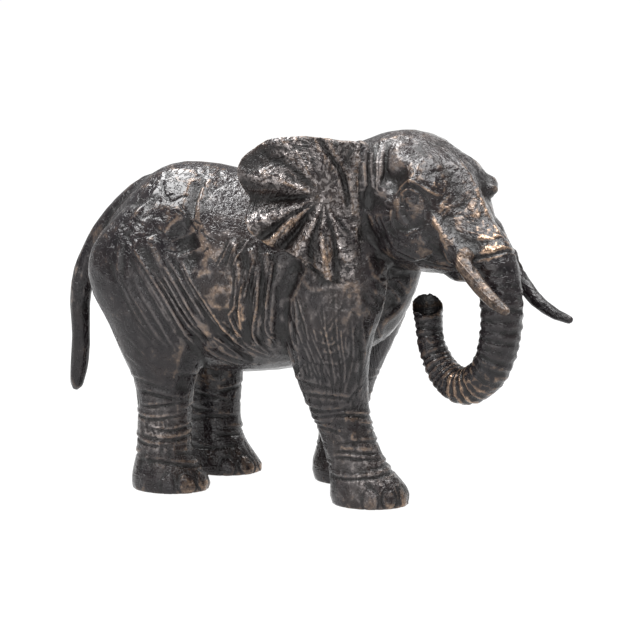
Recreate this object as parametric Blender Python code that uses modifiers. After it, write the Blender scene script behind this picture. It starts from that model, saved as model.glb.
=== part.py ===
"""A cast iron elephant, walking with its trunk curled under, about 22 cm long.

Run it with: blender --background --python part.py
+X is forward, +Y is the animal's left and +Z is up. The table stands at z = 0.
Sizes below are in millimetres, and MM turns them into Blender's metres.
"""

import math

import bmesh
import bpy
import numpy as np
from mathutils import Vector

MM = 0.001
NAME = "elephant"

# Driving sizes
HEAD_PIVOT = (45.0, 0.0, 120.0)  # where the head turns on the neck
HEAD_TURN = math.radians(25)  # towards the animal's right
HEAD_ROLL = math.radians(5)  # left side down
RING_POINTS = 36
ROWS_BETWEEN = 5  # smooth rows for each step of a table
FORM_VOXEL = 1.2
SKIN_VOXEL = 0.8
TRIANGLES = 8000

# Torso, from rump to chest: x, top, underside, half width
TORSO = (
    (-75, 101, 90, 6),
    (-72, 111, 78, 17),
    (-65, 119, 68, 25),
    (-55, 128.5, 58, 30),
    (-44, 133.2, 51, 33),
    (-30, 133.5, 47, 35),
    (-15, 131, 47, 36),
    (0, 129.5, 48.5, 35.5),
    (13, 131, 51, 33),
    (25, 135, 53, 29),
    (36, 138, 57, 24),
    (45, 137, 63, 19),
    (51, 130, 69, 14.5),
    (55.5, 120, 77.5, 10.5),
    (59, 110, 85.5, 7),
    (61, 102, 92, 3),
)

# Neck, from the shoulders to the skull: x, y, z, half height, half width
NECK = (
    (12, 0, 108, 27, 24),
    (25, 0, 112, 28, 24),
    (37, -1, 116, 28, 23),
    (48, -4, 119, 26.5, 22.5),
    (56, -8, 120, 24, 21),
)

# Legs: height, rearmost x, foremost x, middle y, half width
NEAR_HIND = (
    (116, -60, -36, -18, 8),
    (104, -71, -26, -20, 13),
    (92, -75.5, -20, -21, 15),
    (80, -73, -18, -21.5, 15.5),
    (68, -66, -20, -21.5, 15),
    (56, -61, -25, -20.5, 13.5),
    (46, -56.5, -29, -19.5, 12),
    (36, -54.5, -31, -19.5, 11),
    (24, -54.8, -32, -19.5, 10.6),
    (14, -55.3, -31, -19.5, 11.4),
    (7, -57, -26.5, -19.5, 13.4),
    (2, -57.3, -24, -19.5, 14.2),
    (-2, -56.5, -25, -19.5, 13.8),
)
FAR_HIND = (
    (116, -58, -34, 18, 8),
    (104, -69, -22, 20, 13),
    (92, -72, -15, 21, 15),
    (80, -69, -12, 21.5, 15.5),
    (68, -63, -14, 21.5, 15),
    (56, -57, -18.5, 20.5, 13.5),
    (46, -51, -23, 19.5, 12),
    (36, -48.5, -24.5, 19.5, 11),
    (24, -48, -25, 19.5, 10.6),
    (14, -48.5, -23.3, 19.5, 11.4),
    (7, -50, -18.6, 19.5, 13.4),
    (2, -50, -15.5, 19.5, 14.2),
    (-2, -49, -16.5, 19.5, 13.8),
)
NEAR_FORE = (
    (118, 20, 46, -17, 8),
    (106, 12, 52, -20, 12.5),
    (92, 10.5, 54, -22, 14),
    (80, 10, 52.5, -22.5, 14),
    (68, 10.5, 48, -22, 13.5),
    (56, 13, 45.5, -21, 12.5),
    (46, 16.5, 45, -20, 11.6),
    (36, 21, 45.5, -19.5, 10.7),
    (26, 25.5, 48.3, -19.5, 10),
    (16, 28.5, 53, -19.5, 10.5),
    (8, 29.5, 60, -19.5, 12.8),
    (3, 29.5, 62, -19.5, 14),
    (-2, 31, 61.5, -19.5, 13.6),
)
FAR_FORE = (
    (118, 16, 42, 17, 8),
    (106, 8, 47, 20, 12.5),
    (92, 6, 51, 22, 14),
    (80, 5, 50, 22.5, 14),
    (68, 5, 46.5, 22, 13.5),
    (56, 6, 41.5, 21, 12.5),
    (46, 8.5, 37, 20, 11.6),
    (36, 10.5, 33.5, 19.5, 10.7),
    (26, 11.3, 32, 19.5, 10.2),
    (16, 10.6, 33, 19.5, 10.9),
    (8, 8.5, 38, 19.5, 13),
    (3, 8.5, 41, 19.5, 14),
    (-2, 10, 40, 19.5, 13.6),
)

# Head in its own frame, from nape to muzzle:
# forward, top, widest height, underside, half width, roundness above
HEAD = (
    (-14, 142, 124, 106, 15, 2.0),
    (-6, 145.5, 122, 100, 20.5, 2.0),
    (4, 148.5, 121, 96, 23.5, 2.1),
    (13, 149.6, 121, 94, 25, 2.2),
    (21, 148.3, 120, 93.5, 25, 2.3),
    (29, 144.3, 119.5, 93.5, 24.4, 2.4),
    (36, 140.2, 118, 94, 23.2, 3.0),
    (42, 136.2, 113, 94, 20.2, 1.7),
    (46.5, 131.5, 108.5, 94.5, 17.3, 1.35),
    (50.5, 126.3, 105, 95.5, 16.0, 1.3),
    (54.5, 120, 102.5, 96.5, 14.2, 1.3),
    (57.5, 114.5, 101, 97.5, 12.6, 1.4),
    (60, 109.5, 101, 98, 10.8, 1.6),
    (61.3, 105, 101, 99, 5, 2.0),
)

# Rounded lumps on the head: forward, sideways, height, then their three half sizes
BROW = (33.4, 19.6, 129.8, 6.0, 4.4, 3.3)
BROW_ARM = (38.8, 17.4, 127.8, 5.0, 3.2, 2.8)
FAR_BROW = (36.4, 19.2, 129.9, 6.4, 4.8, 4.0)
FAR_BROW_ARM = (40.4, 16.2, 127.8, 5.4, 3.8, 3.4)
EYEBALL = (34.6, 20.0, 121.8, 3.5, 3.0, 2.8)
CHEEK = (30.0, 18.5, 107.0, 15.0, 5.0, 9.0)
SHEATH = (53.6, 13.9, 102.8, 6.5, 4.2, 4.0)
MUZZLE_EDGE = ((36, 20.5, 120, 2.4), (42, 19.0, 115, 3.0), (48, 16.8, 108.5, 3.6), (53, 15.3, 103, 4.2))
LIP = (44.0, 0.0, 94.8, 6.8, 5.8, 3.7)
EAR_BASE = (8.0, 24.0, 126.0, 6.5, 8.0, 19.0)

# Trunk in the head's frame: forward, sideways, height, half depth, half width
TRUNK = (
    (36, 0, 118, 10, 10),
    (46, 0, 112.5, 9.5, 10),
    (53, 0, 107.5, 9.2, 9.8),
    (58.4, 0, 102.5, 9.0, 9.6),
    (62, 0, 96, 8.9, 9.0),
    (64.2, 0, 89, 8.8, 8.8),
    (65.3, 0, 81, 8.5, 8.6),
    (65.3, 0, 72.5, 8.2, 8.4),
    (63.2, 0, 62.8, 7.9, 8.2),
    (58.2, 0, 55.4, 7.7, 8.0),
    (51.2, 0, 51.3, 7.6, 7.8),
    (44.2, 0, 51.5, 7.3, 7.5),
    (37.6, 0, 55.5, 6.6, 6.8),
    (32.9, 0, 61.3, 6.0, 6.2),
    (29.8, 0, 67.5, 5.7, 5.9),
    (28.3, 0, 74, 5.8, 5.9),
    (27.0, 0, 80.9, 7.0, 6.9),
)
MOUTH_SLOPE = (-0.6, 0.65)  # how the trunk's end is cut: over its depth, over its width
NOSTRIL_RIM = 1.35
NOSTRIL_DEPTH = 13.0
# Rings round the trunk: spacing near the tusks and at the tip, how deep, how wide
RING_GAP = (4.6, 2.3)
RING_DEPTH = 0.4

# Tusks in the head's frame: forward, sideways, height, radius
NEAR_TUSK = (
    (50, -14.5, 106, 3.2),
    (55.5, -15.5, 101.5, 3.2),
    (62, -16, 96, 3.2),
    (69.5, -16.8, 90.6, 3.0),
    (77, -18, 86.6, 2.6),
    (83, -19.2, 84.6, 1.8),
    (84.9, -19.6, 84.1, 0.9),
)
FAR_TUSK = (
    (50, 14.5, 106, 3.2),
    (55.5, 15.2, 100.5, 3.2),
    (62, 15.6, 92.8, 3.1),
    (69.5, 16.4, 86.1, 2.8),
    (77.5, 18, 82.0, 2.3),
    (83.5, 19.2, 80.4, 1.7),
    (85.3, 19.6, 80.2, 0.9),
)

# Tail: x, y, z, half depth, half width
TAIL = (
    (-46, 0, 126, 4.0, 5),
    (-58, 0, 122, 5.0, 6),
    (-68.2, 0, 113.2, 5.6, 5.6),
    (-76.8, 0, 103.6, 5.6, 5.0),
    (-83.2, 0, 93.6, 5.3, 4.5),
    (-87.6, 0, 84, 5.0, 4.1),
    (-89.6, 0, 73, 4.5, 3.9),
    (-89.4, 0, 62, 4.1, 3.7),
    (-89.7, 0, 52, 4.0, 3.7),
    (-90.8, 0, 43, 3.7, 3.4),
    (-91.9, 0, 36.5, 2.7, 2.6),
    (-92.4, 0, 34.2, 1.0, 1.0),
)

# Ear blade: back from its root, up, and how far the rim stands out
EAR_RIM = (
    (-1.6, 20.8, -4),
    (6, 21.0, -1.5),
    (18.6, 21.6, -0.5),
    (26, 20.8, -0.5),
    (33.2, 19.4, -2),
    (39.5, 14.6, -3),
    (44.0, 10.3, -4),
    (44.9, 5.0, -3.5),
    (42.6, 0.0, -2),
    (39.8, -4.2, -1.5),
    (40.6, -9.5, 0),
    (39.8, -14.5, 0.5),
    (35.5, -19.5, 1),
    (28, -22.8, 1),
    (20.9, -24.9, 0.5),
    (13.8, -28.3, 0.5),
    (7.0, -31.8, 0),
    (0.5, -31.8, -0.5),
    (-3.6, -26, -1.5),
    (-3.8, -15, -2.5),
    (-2.6, -4, -3),
    (-1.6, 9, -3.5),
)
EAR_MIDDLE = (19.0, 2.0, 2.0)
EAR_ROOT = (9.5, 30.5, 123.0)  # in the head's frame
EAR_FLARE = (math.radians(37), math.radians(4))  # right, left
EAR_THICKNESS = 2.7
EAR_RINGS = 14
# Folds that fan out over the blade from a hub: direction in degrees, spread, rise
EAR_HUB = (8.0, 0.0)
EAR_FOLDS = (
    (34, 20, 1.4),
    (8, 8, 0.9),
    (-11, 8, -3.0),
    (-28, 5, 1.3),
    (-36, 4, -1.0),
    (-43, 5, 1.5),
    (-53, 6, -1.8),
    (-67, 8, 1.3),
    (-79, 5, -0.9),
    (-91, 7, 0.9),
    (-102, 5, -0.8),
    (-114, 7, 0.6),
)

# Carving on the sides, in x and z: points, half width, depth (negative cuts in)
SIDE_CARVING = (
    (((-29.5, 106), (-27, 99)), 10, -3.2),  # hollow in front of the hip
    (((-29, 125), (-28.5, 112)), 3, -1.2),
    (((19, 95), (13, 84), (12, 71), (14.5, 62), (16, 55)), 5, -1.8),  # behind the shoulder
    (((-21, 80), (-14, 66), (-6, 57)), 4, -1.5),  # groin
    (((-24, 66), (-28, 54), (-31, 44)), 5, -1.2),
    (((-50, 101), (-38, 82), (-27, 66)), 3.2, 0.9),  # long folds over the haunch
    (((-43, 104), (-31, 84), (-20, 68)), 3.2, 0.9),
    (((-7, 104), (-3, 90), (-3, 76), (-7, 66)), 2.6, 1.0),  # folds on the flank
    (((1, 102), (4, 88), (3, 74), (0, 64)), 2.6, 1.0),
    (((7, 100), (9, 86), (8, 74), (6, 64)), 2.6, 0.9),
    (((40, 98), (44, 80), (40, 66)), 7, 0.8),  # muscle of the upper foreleg
    (((52, 100), (56, 90), (52, 80)), 4, -0.9),  # side of the chest
)
# Carving on the face, forward and height in the head's frame
FACE_CARVING = (
    (((14, 138), (20, 132), (26, 130)), 8, -3.2),  # hollow of the temple
    (((33.4, 125.4), (37.8, 127.6), (42.2, 124.2)), 1.8, -0.9),  # under the brow
    (((32.6, 124), (32.6, 117), (37, 112.4), (41, 115), (42.4, 119)), 2.2, -0.8),  # round the eye
    (((44, 121), (45, 115), (49, 108), (52, 101)), 2.8, 0.8),  # edge of the muzzle
    (((40, 117), (43, 110), (47, 103), (48, 98)), 3.4, -1.3),  # behind that edge
)


def clear_scene():
    for item in list(bpy.data.objects):
        bpy.data.objects.remove(item)


def between(table):
    """The table's rows with smooth rows between them, by a Catmull-Rom curve through each column."""
    rows = np.array(table, float)
    rows = np.vstack([2 * rows[0] - rows[1], rows, 2 * rows[-1] - rows[-2]])
    found = []
    for i in range(1, len(rows) - 2):
        a, b, c, d = rows[i - 1 : i + 3]
        for t in np.arange(ROWS_BETWEEN) / ROWS_BETWEEN:
            found.append(
                b + 0.5 * t * (c - a + t * (2 * a - 5 * b + 4 * c - d + t * (3 * (b - c) + d - a)))
            )
    return np.array(found + [rows[-2]])


def from_head(points):
    """Points given as forward, left and height in the head's frame, in the object's own frame."""
    forward, left, height = np.array(points, float).reshape(-1, 3).T
    px, py, pz = HEAD_PIVOT
    rise = height - pz
    side = left * math.cos(HEAD_ROLL) + rise * math.sin(HEAD_ROLL)
    up = rise * math.cos(HEAD_ROLL) - left * math.sin(HEAD_ROLL)
    c, s = math.cos(HEAD_TURN), math.sin(HEAD_TURN)
    return np.stack([px + forward * c + side * s, py - forward * s + side * c, pz + up], axis=1)


def to_head(points):
    """The other way: the object's own frame in, the head's frame out."""
    x, y, z = (np.array(points, float).reshape(-1, 3) - HEAD_PIVOT).T
    c, s = math.cos(HEAD_TURN), math.sin(HEAD_TURN)
    forward, side = x * c - y * s, x * s + y * c
    left = side * math.cos(HEAD_ROLL) - z * math.sin(HEAD_ROLL)
    rise = side * math.sin(HEAD_ROLL) + z * math.cos(HEAD_ROLL)
    return np.stack([forward, left, HEAD_PIVOT[2] + rise], axis=1)


def oval(middle, across, along):
    """One ring of points round middle, in the plane of two half axes."""
    angles = np.linspace(0, 2 * math.pi, RING_POINTS, endpoint=False)
    return middle + np.outer(np.cos(angles), across) + np.outer(np.sin(angles), along)


def new_object(mesh, name):
    data = bpy.data.meshes.new(name)
    mesh.to_mesh(data)
    mesh.free()
    made = bpy.data.objects.new(name, data)
    bpy.context.scene.collection.objects.link(made)
    return made


def loft(rings, placed=lambda points: points):
    """A closed mesh object through the rings, capped at both ends."""
    mesh = bmesh.new()
    rows = [[mesh.verts.new(Vector(p) * MM) for p in placed(ring)] for ring in rings]
    count = len(rows[0])
    for low, high in zip(rows, rows[1:]):
        for i in range(count):
            j = (i + 1) % count
            mesh.faces.new((low[i], low[j], high[j], high[i]))
    mesh.faces.new(rows[0][::-1])
    mesh.faces.new(rows[-1])
    bmesh.ops.recalc_face_normals(mesh, faces=mesh.faces)
    return new_object(mesh, "form")


def section(widest, top, low, half, roundness):
    """A ring across the head or torso: rounded above by a power curve, half an oval below."""
    angles = np.linspace(0, 2 * math.pi, RING_POINTS, endpoint=False)
    c, s = np.cos(angles), np.sin(angles)
    power = np.where(s > 0, 2 / roundness, 1.0)
    side = half * np.sign(c) * np.abs(c) ** power
    rise = np.where(s > 0, (top - widest) * np.abs(s) ** power, (widest - low) * s)
    return side, widest + rise


def torso():
    rings = []
    for x, top, low, half in between(TORSO):
        side, height = section(0.5 * (top + low) - 3, top, low, half, 2.0)
        rings.append(np.stack([np.full(RING_POINTS, x), side, height], axis=1))
    return loft(rings)


def head():
    rings = []
    for forward, top, widest, low, half, roundness in between(HEAD):
        side, height = section(widest, top, low, half, roundness)
        rings.append(np.stack([np.full(RING_POINTS, forward), side, height], axis=1))
    return loft(rings, from_head)


def leg(table):
    rings = []
    for z, rear, front, y, half in between(table):
        middle = np.array([0.5 * (rear + front), y, z])
        rings.append(oval(middle, np.array([0.5 * (front - rear), 0, 0]), np.array([0, half, 0])))
    return loft(rings)


def runs(path):
    ahead = np.gradient(path, axis=0)
    return ahead / np.linalg.norm(ahead, axis=1)[:, None]


def tube(table, placed=lambda points: points, slopes=(0, 0)):
    """A loft round a path. Each row is a point, then the half depth and the half width across the path.

    The last ring is cut aslant by the two slopes.
    """
    rows = between(table)
    path = rows[:, :3]
    rings = []
    for (*point, depth, width), run in zip(rows, runs(path)):
        side = np.array([0.0, 1.0, 0.0]) - run * run[1]
        side /= np.linalg.norm(side)
        across = np.cross(side, run)
        rings.append((np.array(point), across * depth, side * width, run))
    made = [oval(point, across, side) for point, across, side, _ in rings]
    if any(slopes):
        point, across, side, run = rings[-1]
        depth, width = rows[-1][3:5]
        made[-1] = oval(point, across + run * slopes[0] * depth, side + run * slopes[1] * width)
        made[-2:-1] = []
    return loft(made, placed)


def lump(numbers, side=1):
    """An egg on the head. Its first three numbers place it and its last three are half sizes."""
    forward, left, height, long, wide, tall = numbers
    rings = []
    for angle in np.linspace(0.05, math.pi - 0.05, 12):
        middle = np.array([forward - long * math.cos(angle), side * left, height])
        share = math.sin(angle)
        rings.append(oval(middle, np.array([0, wide * share, 0]), np.array([0, 0, tall * share])))
    return loft(rings, from_head)


def nostril():
    """The plug that hollows the trunk's end."""
    rows = between(TRUNK)
    path, ahead = rows[:, :3], runs(rows[:, :3])
    length = np.concatenate([[0], np.cumsum(np.linalg.norm(np.diff(path, axis=0), axis=1))])
    kept = rows[length > length[-1] - NOSTRIL_DEPTH].copy()
    kept[:, 3:] -= NOSTRIL_RIM
    kept[0, 3:] *= 0.55
    beyond = kept[-1].copy()
    beyond[:3] += ahead[-1] * 9
    table = [tuple(row) for row in kept[::2]] + [tuple(kept[-1]), tuple(beyond)]
    return tube(table, from_head)


def ear_folds(back, up):
    """How far the blade stands out at each place because of the fanned folds."""
    back, up = back - EAR_HUB[0], up - EAR_HUB[1]
    reach = np.hypot(back, up)
    angle = np.degrees(np.arctan2(up, back))
    rise = np.zeros(len(back))
    for direction, spread, height in EAR_FOLDS:
        off = (angle - direction + 180) % 360 - 180
        rise += height * np.exp(-((off / spread) ** 2))
    return rise * np.clip((reach - 5) / 13, 0, 1)


def ear(side):
    """The blade is a disc of rings from its middle to its rim. side is -1 for the right ear and 1 for the left."""
    flare = EAR_FLARE[0] if side < 0 else EAR_FLARE[1]
    rim = between(EAR_RIM + EAR_RIM[:1])[:-1]
    middle = np.array(EAR_MIDDLE)
    points = [middle]
    for part in np.arange(1, EAR_RINGS + 1) / EAR_RINGS:
        ring = middle + (rim - middle) * part
        ring[:, 2] = middle[2] + (rim[:, 2] - middle[2]) * part**2.2
        points.extend(ring)
    back, up, out = np.array(points).T
    out = out + ear_folds(back, up)
    count = len(rim)
    faces = [(0, 1 + i, 1 + (i + 1) % count) for i in range(count)]
    for ring in range(EAR_RINGS - 1):
        a, b = 1 + ring * count, 1 + (ring + 1) * count
        for i in range(count):
            j = (i + 1) % count
            faces.append((a + i, b + i, b + j, a + j))
    forward = EAR_ROOT[0] - back * math.cos(flare) + out * math.sin(flare)
    left = side * (EAR_ROOT[1] + back * math.sin(flare) + out * math.cos(flare))
    placed = from_head(np.stack([forward, left, EAR_ROOT[2] + up], axis=1))
    mesh = bpy.data.meshes.new("ear")
    mesh.from_pydata([Vector(p) * MM for p in placed], [], faces)
    made = bpy.data.objects.new("ear", mesh)
    bpy.context.scene.collection.objects.link(made)
    wall = made.modifiers.new("wall", "SOLIDIFY")
    wall.thickness = EAR_THICKNESS * MM
    wall.offset = 0
    return made


def baked(item):
    """The object with its modifiers worked into its mesh."""
    graph = bpy.context.evaluated_depsgraph_get()
    mesh = bmesh.new()
    mesh.from_mesh(bpy.data.meshes.new_from_object(item.evaluated_get(graph)))
    bpy.data.objects.remove(item)
    return new_object(mesh, "baked")


def fuse(objects, voxel, rounds):
    """One closed skin round all the objects, with its creases eased by the given rounds of smoothing."""
    graph = bpy.context.evaluated_depsgraph_get()
    mesh = bmesh.new()
    for item in objects:
        mesh.from_mesh(bpy.data.meshes.new_from_object(item.evaluated_get(graph)))
        bpy.data.objects.remove(item)
    made = new_object(mesh, "fused")
    remesh = made.modifiers.new("skin", "REMESH")
    remesh.mode = "VOXEL"
    remesh.voxel_size = voxel * MM
    ease = made.modifiers.new("ease", "SMOOTH")
    ease.factor = 0.5
    ease.iterations = rounds
    return baked(made)


def from_line(flat, line):
    """Distance of each flat point from a bent line, and how far along the line its nearest place is, 0 to 1."""
    line = np.array(line, float)
    lengths = np.linalg.norm(np.diff(line, axis=0), axis=1)
    starts = np.concatenate([[0], np.cumsum(lengths)])
    best, where = np.full(len(flat), 1e9), np.zeros(len(flat))
    for a, b, length, start in zip(line, line[1:], lengths, starts):
        t = np.clip((flat - a) @ (b - a) / length**2, 0, 1)
        distance = np.linalg.norm(flat - a - np.outer(t, b - a), axis=1)
        nearer = distance < best
        best[nearer] = distance[nearer]
        where[nearer] = (start + t * length)[nearer] / starts[-1]
    return best, where


def carve(form):
    """Press the main folds, hollows and rings into the fused form."""
    data = form.data
    count = len(data.vertices)
    points, normals = np.empty(count * 3), np.empty(count * 3)
    data.vertices.foreach_get("co", points)
    data.vertices.foreach_get("normal", normals)
    points, normals = points.reshape(-1, 3) / MM, normals.reshape(-1, 3)
    in_head = to_head(points)
    facing = to_head(normals + HEAD_PIVOT)[:, 1]
    push = np.zeros(count)
    on_head = (in_head[:, 0] > 5) & (in_head[:, 2] > 92) & (points[:, 0] > 52)
    for line, width, depth in SIDE_CARVING:
        away, _ = from_line(points[:, [0, 2]], line)
        bell = np.clip(1 - (away / width) ** 2, 0, 1) ** 2
        push += depth * bell * np.clip(np.abs(normals[:, 1]) * 1.6, 0, 1) * ~on_head
    for line, width, depth in FACE_CARVING:
        away, _ = from_line(in_head[:, [0, 2]], line)
        bell = np.clip(1 - (away / width) ** 2, 0, 1) ** 2
        push += depth * bell * np.clip(np.abs(facing) * 1.6, 0, 1) * on_head
    push += trunk_rings(in_head)
    points += normals * push[:, None]
    data.vertices.foreach_set("co", (points * MM).ravel())
    data.update()


def trunk_rings(in_head):
    """Grooves round the trunk, closer together towards its tip."""
    rows = between(TRUNK)
    path = rows[:, :3]
    steps = np.linalg.norm(np.diff(path, axis=0), axis=1)
    length = np.concatenate([[0], np.cumsum(steps)])
    start = length[np.argmax(path[:, 2] < 100)]
    near = np.nonzero((in_head[:, 0] > 18) & (in_head[:, 2] < 100))[0]
    push = np.zeros(len(in_head))
    best, where = np.full(len(near), 1e9), np.zeros(len(near))
    for i in range(len(path) - 1):
        run = path[i + 1] - path[i]
        t = np.clip((in_head[near] - path[i]) @ run / (run @ run), 0, 1)
        distance = np.linalg.norm(in_head[near] - path[i] - np.outer(t, run), axis=1)
        nearer = distance < best
        best[nearer] = distance[nearer]
        where[nearer] = (length[i] + t * steps[i])[nearer]
    part = np.clip((where - start) / (length[-1] - start), 0, 1)
    near_gap, tip_gap = RING_GAP
    turns = (length[-1] - start) * part / near_gap + part**2 * (length[-1] - start) * (
        0.5 / tip_gap - 0.5 / near_gap
    )
    wave = (0.5 + 0.5 * np.cos(turns * 2 * math.pi)) ** 3
    fits = (best < 11) & (where > start) & (part < 0.985)
    push[near] = -RING_DEPTH * wave * fits
    return push


def finish(form):
    """Hollow the trunk's end, thin the form to the triangles it needs and cut it flat under the feet."""
    hollow = bpy.data.collections.new("cutters")
    bpy.context.scene.collection.children.link(hollow)
    plug = nostril()
    plug.name = "nostril_plug"
    bpy.context.scene.collection.objects.unlink(plug)
    hollow.objects.link(plug)
    plug.hide_render = True
    plug.display_type = "WIRE"
    thin = form.modifiers.new("thin", "DECIMATE")
    faces = sum(len(f.vertices) - 2 for f in form.data.polygons)
    thin.ratio = TRIANGLES / faces
    form = baked(form)
    cut = form.modifiers.new("nostril", "BOOLEAN")
    cut.operation = "DIFFERENCE"
    cut.solver = "EXACT"
    cut.object = plug
    form = baked(form)
    mesh = bmesh.new()
    mesh.from_mesh(form.data)
    bpy.data.objects.remove(form)
    cut = bmesh.ops.bisect_plane(
        mesh,
        geom=mesh.verts[:] + mesh.edges[:] + mesh.faces[:],
        plane_co=(0, 0, 0),
        plane_no=(0, 0, 1),
        clear_inner=True,
    )
    edges = [e for e in cut["geom_cut"] if isinstance(e, bmesh.types.BMEdge)]
    bmesh.ops.holes_fill(mesh, edges=edges, sides=0)
    bmesh.ops.triangulate(mesh, faces=mesh.faces[:])
    return mesh


def place(mesh):
    """The finished object, moved so that the middle of its box's base is the origin, in its dark iron."""
    places = np.array([v.co for v in mesh.verts])
    middle = 0.5 * (places.min(axis=0) + places.max(axis=0))
    bmesh.ops.translate(mesh, verts=mesh.verts, vec=Vector((-middle[0], -middle[1], 0)))
    made = new_object(mesh, NAME)
    bpy.context.scene.collection.objects.unlink(made)
    home = bpy.data.collections.new("iron_elephant")
    bpy.context.scene.collection.children.link(home)
    home.objects.link(made)
    iron = bpy.data.materials.new("dark_iron")
    iron.use_nodes = True
    shader = iron.node_tree.nodes["Principled BSDF"]
    shader.inputs["Base Color"].default_value = (0.055, 0.046, 0.041, 1.0)
    shader.inputs["Metallic"].default_value = 0.9
    shader.inputs["Roughness"].default_value = 0.38
    made.data.materials.append(iron)
    print("moved by", [round(float(-v) / MM, 3) for v in middle[:2]], "mm,", len(made.data.polygons), "triangles")
    return made


def main():
    clear_scene()
    mass = [torso(), tube(NECK), head(), tube(TRUNK, from_head, MOUTH_SLOPE), lump(LIP)]
    mass += [leg(table) for table in (NEAR_HIND, FAR_HIND, NEAR_FORE, FAR_FORE)]
    mass += [lump(kind, side) for kind in (CHEEK, EAR_BASE) for side in (-1, 1)]
    mass += [lump(BROW, -1), lump(BROW_ARM, -1), lump(FAR_BROW), lump(FAR_BROW_ARM)]
    for side in (-1, 1):
        edge = [(forward, side * left, height, r, r) for forward, left, height, r in MUZZLE_EDGE]
        mass.append(tube(edge, from_head))
    body = fuse(mass, FORM_VOXEL, 6)
    trim = [ear(-1), ear(1), tube(TAIL)]
    trim += [lump(kind, side) for kind in (EYEBALL, SHEATH) for side in (-1, 1)]
    trim += [tube([(*row, row[3]) for row in table], from_head) for table in (NEAR_TUSK, FAR_TUSK)]
    whole = fuse([body, *trim], SKIN_VOXEL, 2)
    carve(whole)
    place(finish(whole))


main()
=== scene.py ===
# %% [markdown]
# # A cast iron elephant
# This lesson dresses a plain solid of a walking elephant as the real thing: one iron casting with
# a hammered skin, deep folds, a dark brown-black patina and bronze worn bright on the raised edges.
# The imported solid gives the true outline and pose. Everything finer is carved here into a dense
# copy of it, by moving points along their normals, as a sculptor presses and pulls soft wax before
# the mould is made.

# %% Load the solid and note its box
import math

import bpy
import numpy as np
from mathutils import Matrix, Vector


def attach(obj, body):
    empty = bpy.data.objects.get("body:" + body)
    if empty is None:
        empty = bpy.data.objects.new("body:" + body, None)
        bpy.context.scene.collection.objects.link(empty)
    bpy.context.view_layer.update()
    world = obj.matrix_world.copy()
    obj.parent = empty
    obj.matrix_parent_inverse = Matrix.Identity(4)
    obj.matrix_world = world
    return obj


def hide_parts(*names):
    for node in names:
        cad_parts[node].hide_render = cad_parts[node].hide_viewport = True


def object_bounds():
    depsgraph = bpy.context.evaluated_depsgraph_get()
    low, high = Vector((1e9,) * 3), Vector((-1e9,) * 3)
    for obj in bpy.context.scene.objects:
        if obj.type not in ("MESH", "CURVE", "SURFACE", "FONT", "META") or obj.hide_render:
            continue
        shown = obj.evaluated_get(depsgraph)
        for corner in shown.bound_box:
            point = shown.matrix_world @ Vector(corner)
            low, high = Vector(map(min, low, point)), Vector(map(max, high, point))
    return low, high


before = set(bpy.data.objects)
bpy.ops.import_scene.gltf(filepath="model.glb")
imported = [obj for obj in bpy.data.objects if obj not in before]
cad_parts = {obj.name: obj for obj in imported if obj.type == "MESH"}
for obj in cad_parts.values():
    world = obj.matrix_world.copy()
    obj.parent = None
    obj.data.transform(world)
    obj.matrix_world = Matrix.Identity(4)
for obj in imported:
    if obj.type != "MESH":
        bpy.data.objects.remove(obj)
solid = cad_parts["elephant"]
cad_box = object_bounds()
low_corner, high_corner = np.array(cad_box[0]), np.array(cad_box[1])
MM = 0.001
print("solid", [round(float(v) / MM, 1) for v in high_corner - low_corner], "mm")

# %% [markdown]
# ## The camera and the room
# The view is taken from a little above the shelf and well in front of the right shoulder. A long
# lens keeps the legs upright. The camera comes first so that every later step can be looked at.
# Blender aims a camera with a rotation, which here comes from the direction to what it looks at.

# %% Camera
LOOK_AT = Vector((0.75, 6.0, 70.0)) * MM
CAMERA_TURN, CAMERA_RISE, CAMERA_AWAY = math.radians(19), math.radians(9), 1.0
SENSOR_WIDTH, LENS = 36.0, 137.2  # mm
NEAREST_SEEN = 0.01  # m
flat_reach = math.cos(CAMERA_RISE)
aside, ahead = -math.sin(CAMERA_TURN) * flat_reach, math.cos(CAMERA_TURN) * flat_reach
aim = Vector((aside, ahead, -math.sin(CAMERA_RISE)))
bpy.ops.object.camera_add(location=LOOK_AT - aim * CAMERA_AWAY)
camera = bpy.context.object
camera.name = "camera"
camera.rotation_euler = aim.to_track_quat("-Z", "Y").to_euler()
camera.data.sensor_width = SENSOR_WIDTH
camera.data.lens = LENS
camera.data.clip_start = NEAREST_SEEN
bpy.context.scene.camera = camera
print("camera at", [round(v, 3) for v in camera.location])

# %% [markdown]
# A pale sheet of paper under the figurine, so wide that its far edge is never seen, leaves no
# horizon. It is one flat plane that gives off light itself, as paper lit from below would, which
# keeps shadows weak.

# %% Floor
FLOOR_SIZE = 24.0  # m
PAPER_GLOW = 0.98
bpy.ops.object.select_all(action="DESELECT")
bpy.ops.mesh.primitive_plane_add(size=FLOOR_SIZE, location=(0, 0, 0))
floor = bpy.context.object
floor.name = "floor"
paper = bpy.data.materials.new("pale_paper")
paper.use_nodes = True
paper_shader = paper.node_tree.nodes["Principled BSDF"]
for key, value in (
    ("Base Color", (0.05, 0.05, 0.05, 1)), ("Roughness", 0.9), ("Specular IOR Level", 0.2),
    ("Emission Color", (1, 1, 1, 1)), ("Emission Strength", PAPER_GLOW),
):
    paper_shader.inputs[key].default_value = value
floor.data.materials.append(paper)
print("floor", [round(v, 2) for v in floor.dimensions])

# %% [markdown]
# Dark metal shows its lights more than itself, so the lights are large soft panels in a dim room.
# Two hang overhead with a dark gap between them, and lay the bright patches on the hip, the back
# and the crown. A weak one in front lifts the folds, and one behind draws the edges.

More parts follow.
